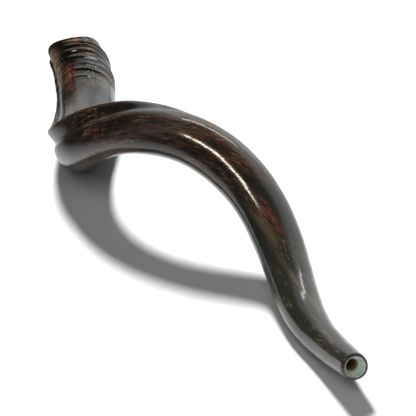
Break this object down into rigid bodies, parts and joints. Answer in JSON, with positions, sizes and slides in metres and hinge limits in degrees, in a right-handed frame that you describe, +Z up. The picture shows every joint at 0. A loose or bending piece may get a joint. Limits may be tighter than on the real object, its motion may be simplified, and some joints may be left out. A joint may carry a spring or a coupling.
{
  "type": "kudu horn",
  "caption": "Polished spiral antelope horn, round and hollow, tapering from a wide sawn mouth to a drilled cup mouthpiece, with a keel along it; blown as a signal horn.",
  "frame": {"origin": "bottom centre of the bounding box, on the surface that the horn lies on", "axes": "+Y along the horn's long axis from mouthpiece to mouth, +Z up as the horn lies at rest, +X to the right seen from the mouthpiece"},
  "size_m": [0.1962, 0.8042, 0.15],
  "materials": {
    "horn": "natural keratin, sanded and polished to a gloss, near-black brown with reddish-brown and tan fibre streaks"
  },
  "bodies": {
    "root": {"horn": "horn"}
  },
  "joints": []
}
